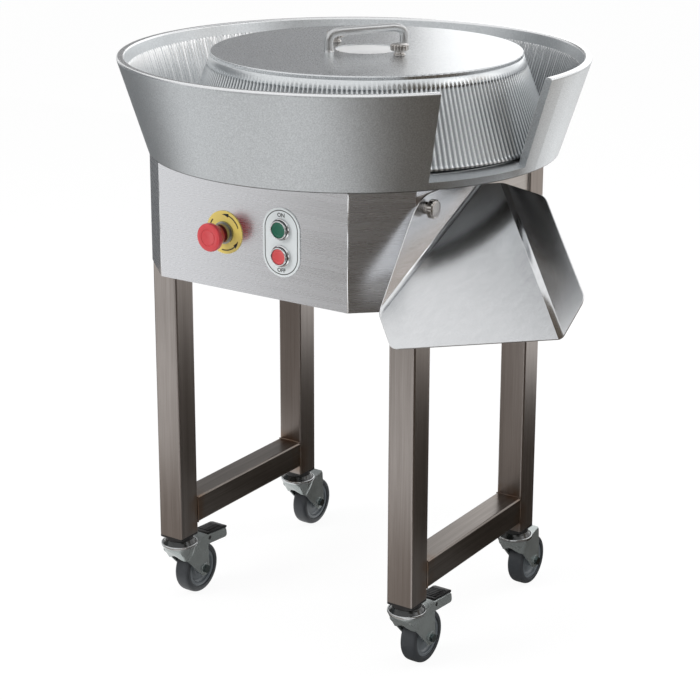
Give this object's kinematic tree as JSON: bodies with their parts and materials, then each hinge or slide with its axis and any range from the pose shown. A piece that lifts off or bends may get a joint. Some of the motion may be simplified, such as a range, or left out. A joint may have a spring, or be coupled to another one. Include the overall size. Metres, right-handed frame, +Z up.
{
  "type": "dough rounder",
  "caption": "Dough rounder on a wheeled steel stand: a fluted cone turns off centre inside a fixed bowl, and rounded dough leaves by a side exit and a folded chute.",
  "frame": {"origin": "on the floor, under the middle of the stand's four legs", "axes": "+X along the front towards the chute, +Y from the control panel towards the back, +Z up"},
  "size_m": [0.745, 0.648, 0.847],
  "materials": {
    "frame_tube": "brushed stainless tube, warm grey",
    "cover_sheet": "brushed stainless sheet",
    "chute_sheet": "bright brushed stainless sheet",
    "cast_bowl": "fine-grained satin casting",
    "cast_cone": "satin casting, fluted",
    "hub_casting": "machined casting",
    "lid_plate": "smooth satin",
    "handle_casting": "satin",
    "thumb_steel": "turned stainless",
    "zinc_steel": "bright zinc plate",
    "drive_paint": "machine paint",
    "bearing_steel": "ground steel",
    "seal_rubber": "matte",
    "black_plastic": "matte black",
    "red_mushroom": "glossy red",
    "collar_metal": "satin metal",
    "yellow_disc": "satin yellow",
    "green_cap": "glossy green",
    "red_cap": "glossy red",
    "chrome_ring": "bright chrome",
    "white_plate": "satin white",
    "wheel_core": "grey",
    "tyre_rubber": "dark grey"
  },
  "bodies": {
    "frame": {"leg_front_left": "frame_tube", "leg_front_right": "frame_tube", "leg_rear_left": "frame_tube", "leg_rear_right": "frame_tube", "rail_left": "frame_tube", "rail_right": "frame_tube", "front_cover": "cover_sheet", "side_panel_left": "cover_sheet", "side_panel_right": "cover_sheet", "rear_panel": "cover_sheet", "bottom_cover": "cover_sheet", "deck_plate": "cover_sheet", "chute": "chute_sheet", "outer_bowl": "cast_bowl", "panel_screws": "zinc_steel", "bowl_bolts": "zinc_steel", "control_nuts": "zinc_steel", "gearbox_housing": "drive_paint", "motor_body": "drive_paint", "bearing_housing": "drive_paint", "shaft_bearing": "bearing_steel", "shaft_seal": "seal_rubber", "motor_fan_cover": "black_plastic", "contact_blocks": "black_plastic", "cable_gland": "black_plastic", "caster_stems": "black_plastic", "estop_collar": "collar_metal", "estop_disc": "yellow_disc", "button_bezels": "chrome_ring", "button_plate": "white_plate"},
    "rotor": {"drive_shaft": "bearing_steel", "cone_hub": "hub_casting", "rounding_cone": "cast_cone", "cone_lid": "lid_plate", "lid_handle": "handle_casting"},
    "lid_screw_right": {"lid_screw_right": "thumb_steel"},
    "lid_screw_left": {"lid_screw_left": "thumb_steel"},
    "chute_screw": {"chute_screw": "thumb_steel"},
    "estop_plunger": {"estop_stem": "red_mushroom"},
    "estop_mushroom": {"estop_head": "red_mushroom"},
    "start_button": {"start_button": "green_cap"},
    "stop_button": {"stop_button": "red_cap"},
    "caster_front_left": {"fork_front_left": "zinc_steel", "axle_front_left": "zinc_steel"},
    "wheel_front_left": {"wheel_front_left": "wheel_core", "tyre_front_left": "tyre_rubber"},
    "caster_front_right": {"fork_front_right": "zinc_steel", "axle_front_right": "zinc_steel"},
    "wheel_front_right": {"wheel_front_right": "wheel_core", "tyre_front_right": "tyre_rubber"},
    "caster_rear_left": {"fork_rear_left": "zinc_steel", "axle_rear_left": "zinc_steel"},
    "wheel_rear_left": {"wheel_rear_left": "wheel_core", "tyre_rear_left": "tyre_rubber"},
    "caster_rear_right": {"fork_rear_right": "zinc_steel", "axle_rear_right": "zinc_steel"},
    "wheel_rear_right": {"wheel_rear_right": "wheel_core", "tyre_rear_right": "tyre_rubber"},
    "pedal_front_left": {"pedal_front_left": "black_plastic"},
    "pedal_front_right": {"pedal_front_right": "black_plastic"}
  },
  "joints": [
    {"name": "cone_spin", "type": "hinge", "parent": "frame", "child": "rotor", "pos_m": [0.01991, 0.01416, 0.81], "axis": [0, 0, 1], "continuous": true},
    {"name": "lid_screw_right_turn", "type": "hinge", "parent": "rotor", "child": "lid_screw_right", "pos_m": [0.08677, -0.00821, 0.815], "axis": [0, 0, 1], "continuous": true},
    {"name": "lid_screw_left_turn", "type": "hinge", "parent": "rotor", "child": "lid_screw_left", "pos_m": [-0.04694, 0.03653, 0.815], "axis": [0, 0, 1], "continuous": true},
    {"name": "chute_screw_turn", "type": "hinge", "parent": "frame", "child": "chute_screw", "pos_m": [0.216, -0.15, 0.653], "axis": [1, 0, 0], "continuous": true},
    {"name": "estop_push", "type": "slide", "parent": "frame", "child": "estop_plunger", "axis": [0, 1, 0], "range_m": [0, 0.005]},
    {"name": "estop_twist", "type": "hinge", "parent": "estop_plunger", "child": "estop_mushroom", "pos_m": [-0.042, -0.2295, 0.6], "axis": [0, -1, 0], "range_deg": [0, 45], "stiffness_Nm_per_rad": 0.05},
    {"name": "start_push", "type": "slide", "parent": "frame", "child": "start_button", "axis": [0, 1, 0], "range_m": [0, 0.003], "stiffness_N_per_m": 1200},
    {"name": "stop_push", "type": "slide", "parent": "frame", "child": "stop_button", "axis": [0, 1, 0], "range_m": [0, 0.003], "stiffness_N_per_m": 1200},
    {"name": "swivel_front_left", "type": "hinge", "parent": "frame", "child": "caster_front_left", "pos_m": [-0.196, -0.15, 0.095], "axis": [0, 0, 1], "continuous": true},
    {"name": "roll_front_left", "type": "hinge", "parent": "caster_front_left", "child": "wheel_front_left", "pos_m": [-0.196, -0.112, 0.0375], "axis": [1, 0, 0], "continuous": true},
    {"name": "swivel_front_right", "type": "hinge", "parent": "frame", "child": "caster_front_right", "pos_m": [0.196, -0.15, 0.095], "axis": [0, 0, 1], "continuous": true},
    {"name": "roll_front_right", "type": "hinge", "parent": "caster_front_right", "child": "wheel_front_right", "pos_m": [0.196, -0.112, 0.0375], "axis": [1, 0, 0], "continuous": true},
    {"name": "swivel_rear_left", "type": "hinge", "parent": "frame", "child": "caster_rear_left", "pos_m": [-0.196, 0.15, 0.095], "axis": [0, 0, 1], "continuous": true},
    {"name": "roll_rear_left", "type": "hinge", "parent": "caster_rear_left", "child": "wheel_rear_left", "pos_m": [-0.196, 0.188, 0.0375], "axis": [1, 0, 0], "continuous": true},
    {"name": "swivel_rear_right", "type": "hinge", "parent": "frame", "child": "caster_rear_right", "pos_m": [0.196, 0.15, 0.095], "axis": [0, 0, 1], "continuous": true},
    {"name": "roll_rear_right", "type": "hinge", "parent": "caster_rear_right", "child": "wheel_rear_right", "pos_m": [0.196, 0.188, 0.0375], "axis": [1, 0, 0], "continuous": true},
    {"name": "brake_front_left", "type": "hinge", "parent": "caster_front_left", "child": "pedal_front_left", "pos_m": [-0.196, -0.099, 0.082], "axis": [-1, 0, 0], "range_deg": [0, 10]},
    {"name": "brake_front_right", "type": "hinge", "parent": "caster_front_right", "child": "pedal_front_right", "pos_m": [0.196, -0.099, 0.082], "axis": [-1, 0, 0], "range_deg": [0, 10]}
  ]
}
